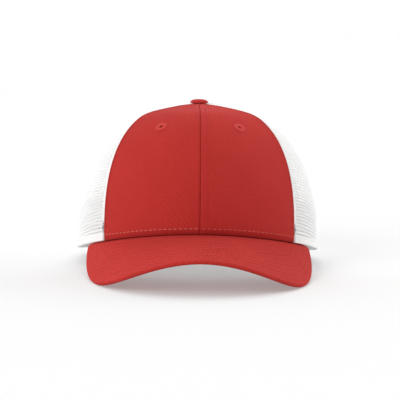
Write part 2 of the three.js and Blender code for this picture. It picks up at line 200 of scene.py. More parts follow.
def crown_normal(azimuth, rise):
    azimuth, rise = np.broadcast_arrays(np.asarray(azimuth, float), np.asarray(rise, float))
    lower = np.maximum(rise - CROWN_STEP, LOWEST_RISE)
    upper = np.minimum(rise + CROWN_STEP, HIGHEST_RISE)
    up = crown_surface(azimuth, upper) - crown_surface(azimuth, lower)
    return unit(np.cross(step_along(azimuth, rise), up))


def crown_point(azimuth, rise, depth):
    """Points at a depth under the crown's outer surface."""
    depth = np.asarray(depth, float)[..., None]
    return crown_surface(azimuth, rise) - crown_normal(azimuth, rise) * depth


def rise_at_height(azimuth, height):
    low = rim_height(azimuth)
    share = np.clip((height - low) / (CROWN_HEIGHT - low), 0, 1)
    return np.degrees(np.arcsin(share ** (profile_powers(azimuth)[1] / 2)))


def rise_at_radius(azimuth, radius):
    power = profile_powers(azimuth)[0]
    return np.degrees(np.arccos((radius / CROWN_HALF_WIDTH) ** (power / 2)))


def azimuth_scale(azimuth, rise):
    """Millimetres along the wall for each degree of azimuth."""
    return np.linalg.norm(step_along(azimuth, rise), axis=-1) / (2 * CROWN_STEP)


# The visor's form, as in the part's source

def visor_plan(around):
    angle = np.radians(around)
    rear_y = crown_point(VISOR_ROOT_ANGLE, 0, PANEL_THICKNESS)[1] - VISOR_THICKNESS
    front = CROWN_HALF_LENGTH + VISOR_LENGTH
    across = np.abs(np.sin(angle)) ** (2 / VISOR_PLAN_SIDE)
    forward = np.abs(np.cos(angle)) ** (2 / VISOR_PLAN_FRONT)
    return np.sign(around) * VISOR_HALF_WIDTH * across, rear_y - (front + rear_y) * forward


def bent_sheet_height(x, y):
    forward = -y - CROWN_HALF_LENGTH
    sag = VISOR_BEND_RADIUS - np.sqrt(VISOR_BEND_RADIUS ** 2 - x ** 2)
    rear_run = CROWN_HALF_LENGTH * (1 - math.cos(math.radians(VISOR_ROOT_ANGLE)))
    towards_front = np.clip((forward + rear_run) / (VISOR_LENGTH + rear_run), 0, 1)
    slope = math.tan(math.radians(VISOR_SLOPE))
    return FRONT_ARCH - forward * slope - sag * (1 + VISOR_FRONT_BEND * towards_front)


def visor_middle(across, out):
    """Points half way through the visor, by shares: across from -1 to 1, out from 0 to 1."""
    across, out = np.broadcast_arrays(np.asarray(across, float), np.asarray(out, float))
    azimuth = VISOR_ROOT_ANGLE * across
    root = crown_point(azimuth, 0, PANEL_THICKNESS)
    root_height = rim_height(azimuth) - PIECE_GAP - VISOR_THICKNESS / 2
    edge_x, edge_y = visor_plan(90 * across)
    x = root[..., 0] + (edge_x - root[..., 0]) * out
    y = root[..., 1] + (edge_y - root[..., 1]) * out
    mend = root_height - bent_sheet_height(root[..., 0], root[..., 1])
    hold = (1 - out) ** 2
    share = hold + (1 - hold) * np.abs(across) ** 6
    return np.stack([x, y, bent_sheet_height(x, y) + mend * share], axis=-1)


def visor_normal(across, out):
    across, out = np.broadcast_arrays(np.asarray(across, float), np.asarray(out, float))
    near = np.maximum(out - VISOR_STEP, 0)
    far = np.minimum(out + VISOR_STEP, 1)
    left = np.maximum(across - VISOR_STEP, -1)
    right = np.minimum(across + VISOR_STEP, 1)
    outward = visor_middle(across, far) - visor_middle(across, near)
    sideways = visor_middle(right, out) - visor_middle(left, out)
    return unit(np.cross(outward, sideways))


def visor_outward(across):
    return unit(visor_middle(across, 1) - visor_middle(across, NEAR_VISOR_EDGE))


def rounded_edge(across, angles):
    """Points round the visor's outer edge, shaped (across, angle, 3)."""
    half = VISOR_THICKNESS / 2
    outward = visor_outward(across)
    upward = visor_normal(across, 1)
    centre = visor_middle(across, 1) - outward * half
    turn = np.radians(angles)[:, None]
    return (centre[:, None] + outward[:, None] * (half * np.cos(turn))
            + upward[:, None] * (half * np.sin(turn)))


# How the hat lies

def resting_place():
    """The tilt in radians, and the shift of the hat's frame along Y and Z."""
    across = np.linspace(-1, 1, 41)
    shares = np.array([0, 0.07, 0.25, 0.5, 0.75, 0.93])
    middle = visor_middle(across[:, None], shares[None])
    direction = visor_normal(across[:, None], shares[None])
    direction[:, 0] = (0, 0, 1)
    half = VISOR_THICKNESS / 2
    edge = rounded_edge(across, np.array([60, 20, -20, -60]))
    points = np.concatenate([middle + direction * half, middle - direction * half, edge], axis=1)
    points = points.reshape(-1, 3)
    corner = crown_point(180 - OPENING_HALF_ANGLE, 0, 0)
    tilt = np.arctan2(corner[2] - points[:, 2], corner[1] - points[:, 1]).max()
    lift = corner[1] * math.sin(tilt) - REST_FLATTENING
    front = (points[:, 1] * math.cos(tilt) + points[:, 2] * math.sin(tilt)).min()
    return tilt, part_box("visor")[0][1] / MM - front, lift


REST_TILT, REST_SHIFT, REST_LIFT = resting_place()
HAT_TO_WORLD = (Matrix.Translation((0, REST_SHIFT * MM, REST_LIFT * MM))
                @ Matrix.Rotation(-REST_TILT, 4, "X"))


def to_world(points):
    rotation = np.array(HAT_TO_WORLD.to_3x3())
    return np.asarray(points, float) * MM @ rotation.T + np.array(HAT_TO_WORLD.translation)


def kept_above_floor(points):
    """World points with none below the surface that the hat lies on."""
    points = np.array(points)
    points[..., 2] = np.maximum(points[..., 2], 0)
    return points


# Making mesh objects

def link_object(name, data):
    obj = bpy.data.objects.new(name, data)
    bpy.context.scene.collection.objects.link(obj)
    return obj


def mesh_object(name, points, faces, material, uvs=None, slots=None, other_material=None):
    """An object from world points and faces. uvs holds a pair for each point, in millimetres."""
    mesh = bpy.data.meshes.new(name)
    mesh.from_pydata(np.asarray(points).tolist(), [], faces)
    if uvs is not None:
        layer = mesh.uv_layers.new(name="cloth")
        loop_points = np.empty(len(mesh.loops), dtype=np.int32)
        mesh.loops.foreach_get("vertex_index", loop_points)
        layer.data.foreach_set("uv", np.asarray(uvs, dtype=np.float32)[loop_points].ravel())
    mesh.materials.append(material)
    if other_material is not None:
        mesh.materials.append(other_material)
    if slots is not None:
        mesh.polygons.foreach_set("material_index", np.asarray(slots, dtype=np.int32))
    mesh.polygons.foreach_set("use_smooth", np.ones(len(mesh.polygons), dtype=bool))
    mesh.update()
    return link_object(name, mesh)


def settle(obj, slot, *nodes):
    """The piece rides on the hat and stands for CAD nodes, which it hides; its slot is not used."""
    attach(obj, "root")
    if nodes:
        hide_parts(*nodes)


def grid_faces(columns, rows, offset=0, flip=False, round_columns=False, round_rows=False):
    """Quads between the points of a grid, which may close on itself either way."""
    i, j = np.meshgrid(np.arange(columns - (not round_columns)), np.arange(rows - (not round_rows)),
                       indexing="ij")
    here = offset + i * rows
    after = offset + (i + 1) % columns * rows
    over = (j + 1) % rows
    quads = np.stack([here + j, after + j, after + over, here + over], axis=-1).reshape(-1, 4)
    return quads[:, ::-1] if flip else quads


def shell_object(name, outer, inner, material, uvs, sign=1, flip=False, inner_material=None,
                 above_floor=False):
    """A closed wall between two grids of hat points, each shaped (columns, rows, 3), mirrored for
    a sign of -1. flip is for columns that run from the hat's right to its left."""
    columns, rows = outer.shape[:2]
    count = columns * rows
    points = np.concatenate([outer.reshape(-1, 3), inner.reshape(-1, 3)])
    points = to_world(points * np.array([sign, 1, 1]))
    if above_floor:
        points = kept_above_floor(points)
    flip = flip != (sign < 0)
    outside = grid_faces(columns, rows, 0, flip)
    inside = grid_faces(columns, rows, count, not flip)
    corner = np.arange(count).reshape(columns, rows)
    loop = np.concatenate([corner[:, 0], corner[-1, 1:], corner[-2::-1, -1], corner[0, -2:0:-1]])
    after = np.roll(loop, -1)
    rim = np.stack([loop, loop + count, after + count, after], axis=-1)
    rim = rim[:, ::-1] if flip else rim
    faces = np.concatenate([outside, inside, rim])
    slots = np.zeros(len(faces))
    if inner_material is not None:
        slots[len(outside):len(outside) + len(inside)] = 1
    both = np.concatenate([uvs.reshape(-1, 2)] * 2)
    return mesh_object(name, points, faces.tolist(), material, both, slots, inner_material)


def distance_along(points, axis=0):
    """The distance from the first point of a line, or of each line of a grid."""
    steps = np.linalg.norm(np.diff(points, axis=axis), axis=-1)
    start = np.zeros_like(np.take(steps, [0], axis=axis))
    return np.concatenate([start, np.cumsum(steps, axis=axis)], axis=axis)


def flat_map(run, side):
    """Cloth coordinates from the distance along a strip's columns and across its rows."""
    return np.stack(np.broadcast_arrays(run[:, None], side), axis=-1)


def turn_angles(count):
    return np.arange(count) * 2 * np.pi / count


def turned_points(spot, direction, angle, radius, height):
    """Points round an axis, from radii and heights shaped (turns, rings)."""
    sideways = unit(np.cross((0, 0, 1), direction))
    upward = np.cross(direction, sideways)
    around = np.cos(angle)[:, None, None] * sideways + np.sin(angle)[:, None, None] * upward
    return spot + radius[..., None] * around + height[..., None] * direction


def stops(length, fine, coarse, edge):
    """Places from 0 to length, close together near both ends."""
    near = np.linspace(0, edge, fine)[:-1]
    middle = np.linspace(edge, length - edge, max(int((length - 2 * edge) / coarse), 2))
    return np.concatenate([near, middle, length - near[::-1]])


def roll_over(distance, radius):
    """How far a folded edge of cloth drops at a distance from its end."""
    inside = np.clip(radius - np.asarray(distance, float), 0, radius)
    return radius - np.sqrt(radius ** 2 - inside ** 2)


def rolled_edges(distance, length, radius):
    """The drop at both folded edges of a strip of a length."""
    return roll_over(distance, radius) + roll_over(length - distance, radius)


def groove(distance, shape):
    """How deep a pressed line is at a distance from its middle. shape is its depth and width."""
    depth, width = shape
    return depth * bell(distance, width)


def soft_noise(points, size, seed):
    """Slow unevenness from -1 to 1, the same each run."""
    total = np.zeros(points.shape[:-1])
    state = np.random.RandomState(seed)
    waves = 5
    for octave in (1, 2):
        for _ in range(waves):
            direction = unit(state.normal(size=3))
            phase = state.uniform(0, 2 * np.pi)
            total = total + np.sin(points @ direction * 2 * np.pi * octave / size + phase) / octave
    return total / (1.5 * waves)


# Materials

RED = (0.47, 0.025, 0.020)
DEEP_RED = (0.42, 0.019, 0.015)
WHITE = (0.86, 0.86, 0.85)
SHEEN_ROUGHNESS = 0.6
TWILL_PITCH = 0.62
HATCH_PITCH = 3.7
SLUB_SHARE = 1.1
TAPE_TINT = 0.05


def set_inputs(tree, node, **inputs):
    """Gives a node's inputs a value or another node's output. A _ in a name stands for a space."""
    for key, value in inputs.items():
        connect(tree, node.inputs[key.replace("_", " ")], value)


def connect(tree, socket, value):
    if isinstance(value, bpy.types.NodeSocket):
        tree.links.new(value, socket)
    else:
        socket.default_value = value


def node_material(name, colour, roughness, sheen=0.0, specular=0.15, **inputs):
    material = bpy.data.materials.new(name)
    material.use_nodes = True
    tree = material.node_tree
    shader = tree.nodes["Principled BSDF"]
    set_inputs(tree, shader, Base_Color=(*colour, 1), Roughness=roughness, Sheen_Weight=sheen,
               Sheen_Roughness=SHEEN_ROUGHNESS, Specular_IOR_Level=specular, **inputs)
    return material, tree, shader


def add_node(tree, kind, settings=(), **inputs):
    node = tree.nodes.new(kind)
    for key, value in dict(settings).items():
        setattr(node, key, value)
    set_inputs(tree, node, **inputs)
    return node


def maths(tree, operation, *values):
    node = add_node(tree, "ShaderNodeMath", {"operation": operation})
    for socket, value in zip(node.inputs, values):
        connect(tree, socket, value)
    return node.outputs[0]


def noise(tree, place, scale, detail=2.0, roughness=0.5):
    node = add_node(tree, "ShaderNodeTexNoise", Vector=place, Scale=scale, Detail=detail,
                    Roughness=roughness)
    return node.outputs["Fac"]


def wave(tree, place, pitch):
    return maths(tree, "SINE", maths(tree, "MULTIPLY", place, 2 * math.pi / pitch))


def add_bump(tree, shader, height, strength, depth):
    """Relief with a depth in millimetres."""
    bump = add_node(tree, "ShaderNodeBump", Strength=strength, Distance=depth * MM, Height=height)
    set_inputs(tree, shader, Normal=bump.outputs["Normal"])


def shade_of(colour, factor, offset=0.0):
    return (*(min(part * factor + offset, 1) for part in colour), 1)


def add_shades(tree, shader, factor, dark, light):
    """A base colour between two shades."""
    ramp = add_node(tree, "ShaderNodeValToRGB", Fac=factor)
    ramp.color_ramp.elements[0].color = dark
    ramp.color_ramp.elements[1].color = light
    set_inputs(tree, shader, Base_Color=ramp.outputs["Color"])


def cloth_coordinates(tree):
    """The cloth's own flat coordinates in millimetres, from its UV map."""
    uv = add_node(tree, "ShaderNodeUVMap", {"uv_map": "cloth"})
    split = add_node(tree, "ShaderNodeSeparateXYZ", Vector=uv.outputs["UV"])
    return uv.outputs["UV"], split.outputs["X"], split.outputs["Y"]


def twill_material(name, colour, tint=0.2, hatch=0.05):
    """Cotton twill: diagonal ribs of slightly uneven yarn, with slubs and broad shade changes."""
    material, tree, shader = node_material(name, colour, 0.9, 0.015, 0.08)
    flat, across, along = cloth_coordinates(tree)
    diagonal = maths(tree, "ADD", across, maths(tree, "MULTIPLY", along, 0.8))
    shifted = maths(tree, "MULTIPLY_ADD", noise(tree, flat, 0.9), 0.5, diagonal)
    rib = wave(tree, shifted, TWILL_PITCH)
    weft = wave(tree, along, TWILL_PITCH * 0.62)
    weave = maths(tree, "MULTIPLY_ADD", weft, 0.35, rib)
    yarn = noise(tree, flat, 1.7, 3.0)
    add_bump(tree, shader, maths(tree, "MULTIPLY_ADD", yarn, 1.2, weave), 0.7, 0.09)
    patches = noise(tree, flat, 0.06, 1.0)
    hatch_line = wave(tree, maths(tree, "MULTIPLY_ADD", along, 0.9, across), HATCH_PITCH)
    hatched = maths(tree, "MULTIPLY", maths(tree, "MULTIPLY", hatch_line, patches), hatch * 2)
    slub = noise(tree, flat, 0.7, roughness=0.7)
    uneven = maths(tree, "MULTIPLY_ADD", slub, SLUB_SHARE, hatched)
    mixed = maths(tree, "MULTIPLY_ADD", weave, 0.16, yarn)
    broad = maths(tree, "MULTIPLY_ADD", noise(tree, flat, 0.035), 0.3, mixed)
    shade = maths(tree, "MULTIPLY_ADD", maths(tree, "ADD", broad, uneven), 0.9, -0.57)
    add_shades(tree, shader, shade, shade_of(colour, 1 - tint), shade_of(colour, 1 + tint, 0.01))
    return material


def tape_material(name, colour, pitch=0.9, depth=0.1):
    """Woven tape or band: fine ribs across its length."""
    material, tree, shader = node_material(name, colour, 0.8, 0.05)
    flat, across, along = cloth_coordinates(tree)
    weave = maths(tree, "MULTIPLY", wave(tree, across, pitch), wave(tree, along, pitch * 0.7))
    yarn = noise(tree, flat, 1.5)
    add_bump(tree, shader, maths(tree, "MULTIPLY_ADD", yarn, 0.8, weave), 0.6, depth)
    add_shades(tree, shader, maths(tree, "MULTIPLY_ADD", weave, 0.2, yarn),
               shade_of(colour, 1 - TAPE_TINT), shade_of(colour, 1 + TAPE_TINT))
    return material


def object_noise(tree, scale):
    place = add_node(tree, "ShaderNodeTexCoord")
    return noise(tree, place.outputs["Object"], scale)


def thread_material(name, colour, roughness=0.55, **inputs):
    """Sewing thread or net yarn, with a fine twist in its surface."""
    material, tree, shader = node_material(name, colour, roughness, 0.03, **inputs)
    twist = object_noise(tree, 2200.0)
    add_bump(tree, shader, twist, 0.5, 0.05)
    add_shades(tree, shader, twist, shade_of(colour, 0.9), shade_of(colour, 1.08))
    return material


def plastic_material(name, colour):
    """Moulded soft plastic with a faint orange-peel surface."""
    material, tree, shader = node_material(name, colour, 0.38, specular=0.5)
    peel = object_noise(tree, 900.0)
    add_bump(tree, shader, peel, 0.2, 0.05)
    set_inputs(tree, shader, Roughness=maths(tree, "MULTIPLY_ADD", peel, 0.12, 0.32))
    return material


twill = twill_material("red twill", RED)
visor_twill = twill_material("red visor twill", RED, tint=0.27, hatch=0.1)
visor_under = twill_material("red visor underside", DEEP_RED, tint=0.16)
# A near-black red that paints the shadow in the gaps at the crown's base and along its centre seam
shadow_red = twill_material("painted shadow red cloth", (0.16, 0.006, 0.005), tint=0.1)
buckram = tape_material("white buckram", (0.88, 0.87, 0.84), pitch=1.4, depth=0.15)
tape = tape_material("white tape", WHITE)
band_cloth = tape_material("off-white band cloth", (0.88, 0.87, 0.85), pitch=0.7)
net_yarn = thread_material(
    "white net yarn", (0.93, 0.93, 0.925), 0.6, Subsurface_Weight=0.6, Subsurface_Radius=(1, 1, 1),
    Subsurface_Scale=2.5 * MM,
)
red_thread = thread_material("red thread", DEEP_RED)
eyelet_thread = thread_material("eyelet thread", (0.52, 0.03, 0.024))
# The base stitches are one thread in two copies: paler on the left with a painted highlight where
# the key light falls, redder on the right in painted shade
shaded_base_thread = thread_material("base thread painted shaded", (0.66, 0.12, 0.10))
lit_base_thread = thread_material("base thread painted lit", (0.68, 0.19, 0.16))
visor_thread = thread_material("visor thread", (0.55, 0.035, 0.028))
white_thread = thread_material("white thread", (0.88, 0.88, 0.87))
strap_plastic = plastic_material("white strap plastic", (0.84, 0.84, 0.83))


# Stitches

# Along one stitch: the place as a share of its length, then the lift and the width as shares of
# its thread
STITCH_SHAPE = np.array([
    (-0.5, -0.5, 0.5),
    (-0.38, 0.45, 0.9),
    (-0.15, 1.0, 1.0),
    (0.15, 1.0, 1.0),
    (0.38, 0.45, 0.9),
    (0.5, -0.5, 0.5),
])
STITCH_SIDES = 6
STITCH_FLATNESS = 1.15

# Kinds of stitch row: the pitch, then each stitch's length and its thread's radius
SIDE_STITCH = (2.9, 2.2, 0.23)
CENTRE_STITCH = (2.9, 2.2, 0.2)
BASE_STITCH = (3.5, 2.3, 0.2)
EDGE_STITCH = (3.1, 2.3, 0.2)
NET_STITCH = (2.9, 2.1, 0.2)
BAND_STITCH = (3.6, 2.6, 0.23)
VISOR_STITCH = (3.0, 2.3, 0.15)


def stitch_row(name, points, normals, material, slot, kind):
    """Stitches along a line of hat points: short rounded threads that dip in at their ends."""
    pitch, length, thread = kind
    run = distance_along(points)
    count = int(run[-1] // pitch)
    centres = (np.arange(count) + 0.5) * run[-1] / count
    place = centres[:, None] + STITCH_SHAPE[:, 0] * length
    lifts = STITCH_SHAPE[:, 1] * thread
    widths = (STITCH_SHAPE[:, 2] * thread)[:, None, None]
    spot = np.stack([np.interp(place, run, points[:, k]) for k in range(3)], axis=-1)
    upward = unit(np.stack([np.interp(place, run, normals[:, k]) for k in range(3)], axis=-1))
    sideways = unit(np.cross(upward, unit(np.gradient(spot, axis=1))))
    turn = turn_angles(STITCH_SIDES)[:, None]
    ring = (spot + upward * lifts[:, None])[:, :, None]
    ring = ring + sideways[:, :, None] * (np.cos(turn) * STITCH_FLATNESS) * widths
    ring = ring + upward[:, :, None] * np.sin(turn) * widths
    rings = len(STITCH_SHAPE)
    k, r, side = np.meshgrid(np.arange(count), np.arange(rings - 1), np.arange(STITCH_SIDES),
                             indexing="ij")
    here = (k * rings + r) * STITCH_SIDES
    ahead = here + STITCH_SIDES
    beside = (side + 1) % STITCH_SIDES
    quads = np.stack([here + side, here + beside, ahead + beside, ahead + side], axis=-1)
    first = np.arange(count) * rings * STITCH_SIDES
    last = first + (rings - 1) * STITCH_SIDES
    caps = [list(range(start, start + STITCH_SIDES))[::-1] for start in first]
    caps += [list(range(start, start + STITCH_SIDES)) for start in last]
    faces = quads.reshape(-1, 4).tolist() + caps
    settle(mesh_object(name, to_world(ring.reshape(-1, 3)), faces, material), slot)


def crown_stitches(name, azimuth, rise, depth, material, slot, kind):
    points = crown_point(azimuth, rise, depth)
    stitch_row(name, points, crown_normal(azimuth, rise), material, slot, kind)


# Front panels

PANEL_WIDTH = 78.0
PANEL_RUN = 128.0
PANEL_EDGE_RADIUS = 0.7
SEAM_CLOSING = 0.4
SEAM_ALLOWANCE = 4.5
TOPSTITCH_INSET = 2.1
BASE_STITCH_HEIGHT = 3.9
SIDE_STITCH_GROOVE = (0.16, 0.7)
BASE_STITCH_GROOVE = (0.14, 0.8)
EYELET_HOLLOW = (0.35, 7.0)
EYELET_CUT_RADIUS = EYELET_HOLE_RADIUS + 0.55
PANEL_UNEVENNESS = 0.22
PANEL_UNEVENNESS_SIZE = 46.0

# The seam allowances are pressed towards the right panel, which is raised more and sewn twice
ALLOWANCE_RIDGE = {-1: 0.1, 1: 0.24}
CENTRE_STITCH_INSETS = {-1: (1.6,), 1: (1.6, 5.2)}
# The left base stitches take the thread painted lit, the right ones the same thread painted in
# shade
BASE_THREAD = {-1: lit_base_thread, 1: shaded_base_thread}


def eyelet_spot(sign):
    rise = rise_at_height(EYELET_ANGLE, CROWN_HEIGHT * EYELET_HEIGHT_SHARE)
    return crown_surface(sign * EYELET_ANGLE, rise), crown_normal(sign * EYELET_ANGLE, rise)


def front_panel(side, sign):
    across = stops(PANEL_WIDTH, 6, 1.3, 5.0) / PANEL_WIDTH
    up = stops(PANEL_RUN, 8, 1.4, 6.0) / PANEL_RUN
    rise = rise_at_radius(across * FRONT_SEAM, TIP_RADIUS)[:, None] * up
    start = PIECE_GAP / 2 / azimuth_scale(0, rise) * SEAM_CLOSING
    end = FRONT_SEAM - PIECE_GAP / 2 / azimuth_scale(FRONT_SEAM, rise) * SEAM_CLOSING
    azimuth = start + (end - start) * across[:, None]
    scale = azimuth_scale(azimuth, rise)
    from_centre = azimuth * scale
    from_side = (FRONT_SEAM - azimuth) * scale
    surface = crown_surface(azimuth, rise)
    from_base = distance_along(surface, axis=1)
    from_eyelet = np.linalg.norm(surface - eyelet_spot(1)[0], axis=-1)
    flat = smooth_share(from_centre, SEAM_ALLOWANCE - 1.8, SEAM_ALLOWANCE + 0.9)
    uneven = soft_noise(surface, PANEL_UNEVENNESS_SIZE, 3 + sign) * smooth_share(from_base, 2, 20)
    drop = (roll_over(from_centre, PANEL_EDGE_RADIUS) + roll_over(from_side, PANEL_EDGE_RADIUS)
            + roll_over(from_base, PANEL_EDGE_RADIUS)
            + groove(from_side - TOPSTITCH_INSET, SIDE_STITCH_GROOVE)
            + groove(from_base - BASE_STITCH_HEIGHT, BASE_STITCH_GROOVE)
            - ALLOWANCE_RIDGE[sign] * (1 - flat)
            + groove(from_eyelet, EYELET_HOLLOW)
            - PANEL_UNEVENNESS * uneven)
    uvs = np.stack([sign * from_centre, from_base], axis=-1)
    panel = shell_object(
        f"sewn_front_panel_{side}", crown_point(azimuth, rise, drop),
        crown_point(azimuth, rise, PANEL_THICKNESS), twill, uvs, sign, inner_material=buckram,
    )
    cut_round_holes(panel, [eyelet_spot(sign)], EYELET_CUT_RADIUS)
    settle(panel, "red_twill", f"front_panel_{side}")


def panel_stitches(side, sign):
    line = np.linspace(0.02, 0.985, 160)
    rises = rise_at_radius(FRONT_SEAM, TIP_RADIUS) * line
    inset = FRONT_SEAM - TOPSTITCH_INSET / azimuth_scale(FRONT_SEAM, rises)
    keep = inset > 4
    crown_stitches(f"side_topstitch_{side}", sign * inset[keep], rises[keep], 0.12, red_thread,
                   "red_thread", SIDE_STITCH)
    rises = rise_at_radius(0, TIP_RADIUS) * line
    for inset in CENTRE_STITCH_INSETS[sign]:
        beside = inset / azimuth_scale(0, rises)
        keep = beside < FRONT_SEAM / 2
        crown_stitches(f"centre_topstitch_{side}_{int(inset)}", sign * beside[keep], rises[keep],
                       0.05, red_thread, "red_thread", CENTRE_STITCH)
    base = np.linspace(0.6, FRONT_SEAM - 1.2, 120)
    rises = rise_at_height(base, rim_height(base) + BASE_STITCH_HEIGHT)
    crown_stitches(f"base_stitch_{side}", sign * base, rises, 0.02, BASE_THREAD[sign],
                   "red_thread", BASE_STITCH)


def cut_round_holes(piece, places, radius):
    """Cuts round holes through a piece, each at a spot along a direction, into its mesh."""
    shape = bmesh.new()
    radius = radius * MM
    for spot, direction in places:
        world_direction = HAT_TO_WORLD.to_3x3() @ Vector(direction)
        turn = Vector((0, 0, 1)).rotation_difference(world_direction).to_matrix().to_4x4()
        bmesh.ops.create_cone(
            shape, cap_ends=True, segments=24, radius1=radius, radius2=radius, depth=12 * MM,
            matrix=Matrix.Translation(Vector(to_world(spot))) @ turn,
        )
    mesh = bpy.data.meshes.new("cutter")
    shape.to_mesh(mesh)
    shape.free()
    cutter = link_object("cutter", mesh)
    cut = piece.modifiers.new("holes", "BOOLEAN")
    cut.object = cutter
    cut.operation = "DIFFERENCE"
    cut.solver = "EXACT"
    bpy.context.view_layer.update()
    shaped = piece.evaluated_get(bpy.context.evaluated_depsgraph_get())
    shaped = bpy.data.meshes.new_from_object(shaped)
    piece.modifiers.clear()
    piece.data = shaped
    bpy.data.objects.remove(cutter)


# Eyelets: a ring of radial thread round the hole

EYELET_THREADS = 34
EYELET_RIPPLE = 0.09
EYELET_UNEVENNESS = 0.05

# Round the ring's section: radius, height, and how far the threads show
EYELET_SECTION = np.array([
    (EYELET_HOLE_RADIUS, -1.6, 0),
    (EYELET_HOLE_RADIUS * 0.98, -0.2, 0.5),
    (EYELET_HOLE_RADIUS * 1.08, 0.2, 1),
    (1.8, 0.38, 1),
    (2.5, 0.42, 1),
    (3.2, 0.38, 1),
    (3.85, 0.25, 1),
    (4.25, 0.0, 0.8),
    (4.35, -0.35, 0),
    (3.2, -0.5, 0),
    (1.75, -1.6, 0),
])


def eyelet(side, sign):
    spot, direction = eyelet_spot(sign)
    turns = EYELET_THREADS * 6
    angle = turn_angles(turns)
    section_radius, section_height, shown = EYELET_SECTION.T
    ripple = EYELET_RIPPLE * np.abs(np.cos(angle * EYELET_THREADS / 2))
    radius = section_radius + EYELET_UNEVENNESS * np.sin(angle * 7)[:, None] * shown
    height = section_height + ripple[:, None] * shown
    ring = turned_points(spot, direction, angle, radius, height)
    faces = grid_faces(turns, len(EYELET_SECTION), round_columns=True, round_rows=True).tolist()
    obj = mesh_object(f"sewn_eyelet_{side}", to_world(ring.reshape(-1, 3)), faces, eyelet_thread)
    settle(obj, "red_thread", f"eyelet_{side}")


# Net panels: a six-sided net with round holes, cut from one even cloth

NET_ROW = 2.2
NET_YARN_THICKNESS = 0.42
NET_HOLE_SHARE = 0.33
NET_HOLE_EDGE_SHARE = 0.45
NET_CELL_RADIUS = NET_ROW / 1.5
NET_COLUMN = NET_CELL_RADIUS * math.sqrt(3)
NET_HALF_WIDTH = 70
NET_SIDES = 12
NET_OPENING_MARGIN = 3.0


def opening_half_angle(margin):
    """The back opening's half width in degrees of azimuth, with a margin in millimetres."""
    radius = CROWN_HALF_WIDTH * math.sin(math.radians(OPENING_HALF_ANGLE))
    return OPENING_HALF_ANGLE * (1 + margin / radius)


class NetCloth:
    """Flat coordinates on a crown panel: along is the distance up its middle line from the rim,
    across the distance sideways from that line."""

    def __init__(self, start, end):
        self.middle = (start + end) / 2
        self.rises = np.linspace(0, float(rise_at_radius(self.middle, TIP_RADIUS)), 400)
        self.length = distance_along(crown_surface(self.middle, self.rises))
        self.azimuths = np.linspace(start - 8, end + 8, 160)

    def rise(self, along):
        return np.interp(along, self.length, self.rises)

    def run(self, rise):
        """Distance from the middle line at each of the azimuths, for one rise."""
        total = distance_along(crown_surface(self.azimuths, rise))
        return total - np.interp(self.middle, self.azimuths, total)

    def place(self, across, along):
        """Azimuth and rise of flat points."""
        keys, back = np.unique(np.round(along, 4), return_inverse=True)
        azimuth = np.empty(len(across))
        for index, key in enumerate(keys):
            here = back == index
            azimuth[here] = np.interp(across[here], self.run(float(self.rise(key))), self.azimuths)
        return azimuth, self.rise(along)


def net_cells(cloth, start, end, opening):
    """The middles of a panel's cells in flat coordinates."""
    rows = int((cloth.length[-1] - HEM_HEIGHT) / NET_ROW) + 1
    widest = int(NET_HALF_WIDTH / NET_COLUMN)
    cells = np.array([((place + (row % 2) / 2) * NET_COLUMN, HEM_HEIGHT - 1.0 + row * NET_ROW)
                      for row in range(rows) for place in range(-widest, widest + 1)])
    azimuth, rise = cloth.place(cells[:, 0], cells[:, 1])
    seam_room = NET_CELL_RADIUS * 0.9 if start == FRONT_SEAM else 0
    first = start + seam_room / azimuth_scale(azimuth, np.minimum(rise, 88))
    inside = (azimuth > first) & (azimuth < end) & (rise < float(cloth.rises[-1]) - 0.5)
    if opening:
        height = crown_surface(azimuth, rise)[:, 2]
        wide = opening_half_angle(NET_OPENING_MARGIN)
        high = OPENING_HEIGHT + NET_OPENING_MARGIN
        inside &= ((180 - azimuth) / wide) ** 2 + (height / high) ** 2 > 1
    return cells[inside]


def net_panel(name, start, end, sign, node, opening=False):
    cloth = NetCloth(start, end)
    cells = net_cells(cloth, start, end, opening)
    corner = np.radians(30 + 60 * np.arange(6))
    corners = np.stack([np.cos(corner), np.sin(corner)], axis=-1) * NET_CELL_RADIUS
    middles = (corners + np.roll(corners, -1, axis=0)) / 2
    ring = np.stack([corners, middles], axis=1).reshape(NET_SIDES, 2)
    turn = np.radians(30 + 30 * np.arange(NET_SIDES))
    hole = np.stack([np.cos(turn), np.sin(turn)], axis=-1) * NET_CELL_RADIUS * NET_HOLE_SHARE
    outline = np.round(cells[:, None] + ring, 3).reshape(-1, 2)
    shared, back = np.unique(outline, axis=0, return_inverse=True)
    back = back.reshape(-1, NET_SIDES)
    flat = np.concatenate([shared, (cells[:, None] + hole).reshape(-1, 2)])
    azimuth, rise = cloth.place(flat[:, 0], np.clip(flat[:, 1], 0, cloth.length[-1]))
    half = NET_YARN_THICKNESS / 2
    thick = np.where(np.arange(len(flat)) < len(shared), half, half * NET_HOLE_EDGE_SHARE)
    depth = MESH_SET_BACK + half
    top = crown_point(azimuth, rise, depth - thick)
    under = crown_point(azimuth, rise, depth + thick)
    points = np.concatenate([top, under]) * np.array([sign, 1, 1])
    rim = len(shared) + np.arange(len(cells) * NET_SIDES).reshape(-1, NET_SIDES)
    after = np.roll(np.arange(NET_SIDES), -1)
    total = len(flat)
    upper = np.stack([back, back[:, after], rim[:, after], rim], axis=-1).reshape(-1, 4)
    lower = upper[:, ::-1] + total
    wall = np.stack([rim, rim[:, after], rim[:, after] + total, rim + total], axis=-1)
    faces = np.concatenate([upper, lower, wall.reshape(-1, 4)])
    if sign < 0:
        faces = faces[:, ::-1]
    settle(mesh_object(name, to_world(points), faces.tolist(), net_yarn), "white_mesh", node)


# Edging and seams on the net

